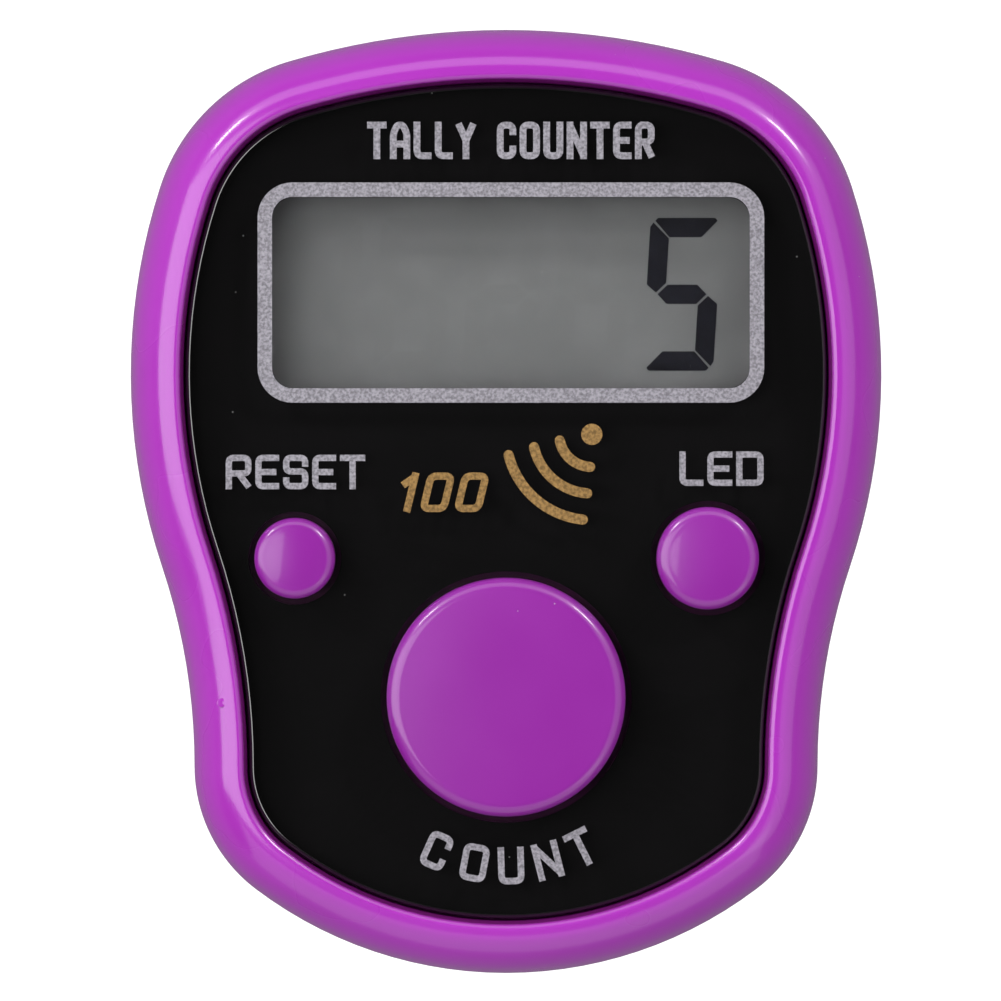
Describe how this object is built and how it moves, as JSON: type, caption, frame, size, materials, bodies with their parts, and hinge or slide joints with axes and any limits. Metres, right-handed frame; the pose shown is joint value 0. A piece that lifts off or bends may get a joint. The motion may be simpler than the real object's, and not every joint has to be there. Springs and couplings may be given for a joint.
{
  "type": "hand tally counter",
  "caption": "Electronic finger tally counter: waisted two-shell case, liquid crystal display in a black panel, push buttons, coin-slot battery door and a soft finger band with a stud clasp.",
  "frame": {"origin": "centre of the bounding box at the bottom of the finger band", "axes": "+Z out of the face towards the reader, +Y towards the display end, +X to the reader's right"},
  "size_m": [0.0312, 0.0392, 0.0308],
  "materials": {
    "shell": "glossy purple moulding",
    "button_plastic": "glossy purple moulding",
    "panel_acrylic": "clear, polished",
    "black_ink": "black screen print",
    "silver_ink": "silver screen print",
    "gold_ink": "gold screen print",
    "display_ink": "lit display segments",
    "tape": "black adhesive foam",
    "film": "satin",
    "display_glass": "polished",
    "diffuser": "frosted",
    "lamp_plastic": "satin",
    "striped_rubber": "matte",
    "board": "solder mask",
    "resin": "glossy",
    "chip_body": "matte",
    "silicone": "matte",
    "carbon": "matte",
    "holder_plastic": "satin",
    "spring_steel": "satin",
    "cell_can": "satin",
    "screw_steel": "bright",
    "brass_sheet": "satin",
    "ceramic": "matte",
    "wire": "satin",
    "pin_steel": "bright",
    "band_rubber": "matte"
  },
  "bodies": {
    "case": {"front_cover": "shell", "back_cover": "shell", "case_screws": "screw_steel", "face_panel": "panel_acrylic", "panel_mask": "black_ink", "panel_tape": "tape", "display_front_film": "film", "display_front_glass": "display_glass", "display_rear_glass": "display_glass", "display_reflector": "film", "backlight_plate": "diffuser", "backlight_led": "lamp_plastic", "contact_rubber": "striped_rubber", "circuit_board": "board", "board_screws": "screw_steel", "chip_blob": "resin", "timing_crystal": "screw_steel", "chip_resistors": "chip_body", "keypad_web": "silicone", "count_dome": "silicone", "reset_dome": "silicone", "led_dome": "silicone", "battery_holder": "holder_plastic", "negative_contact": "spring_steel", "positive_contact": "spring_steel", "inner_cell": "cell_can", "outer_cell": "cell_can", "buzzer_plate": "brass_sheet", "buzzer_crystal": "ceramic", "buzzer_wires": "wire", "left_pin": "pin_steel", "right_pin": "pin_steel"},
    "count_key": {"count_button": "button_plastic", "count_pill": "carbon"},
    "reset_key": {"reset_button": "button_plastic", "reset_pill": "carbon"},
    "led_key": {"led_button": "button_plastic", "led_pill": "carbon"},
    "door": {"battery_door": "shell", "door_contact": "spring_steel"},
    "band": {"finger_band": "band_rubber"},
    "clasp": {"clasp_tab": "band_rubber"}
  },
  "joints": [
    {"name": "count_press", "type": "slide", "parent": "case", "child": "count_key", "axis": [0, 0, -1], "range_m": [0, 0.0007], "stiffness_N_per_m": 1500, "springref_m": -0.0002, "deforming": ["count_dome"]},
    {"name": "reset_press", "type": "slide", "parent": "case", "child": "reset_key", "axis": [0, 0, -1], "range_m": [0, 0.0005], "stiffness_N_per_m": 1200, "springref_m": -0.0002, "deforming": ["reset_dome"]},
    {"name": "led_press", "type": "slide", "parent": "case", "child": "led_key", "axis": [0, 0, -1], "range_m": [0, 0.0005], "stiffness_N_per_m": 1200, "springref_m": -0.0002, "deforming": ["led_dome"]},
    {"name": "door_turn", "type": "hinge", "parent": "case", "child": "door", "pos_m": [0, -0.006, 0.0175], "axis": [0, 0, -1], "range_deg": [0, 50]},
    {"name": "band_swing", "type": "hinge", "parent": "case", "child": "band", "pos_m": [-0.0112, 0, 0.0153], "axis": [0, 1, 0], "range_deg": [0, 80]},
    {"name": "clasp_swing", "type": "hinge", "parent": "case", "child": "clasp", "pos_m": [0.0112, 0, 0.0153], "axis": [0, -1, 0], "range_deg": [-12, 75]}
  ]
}
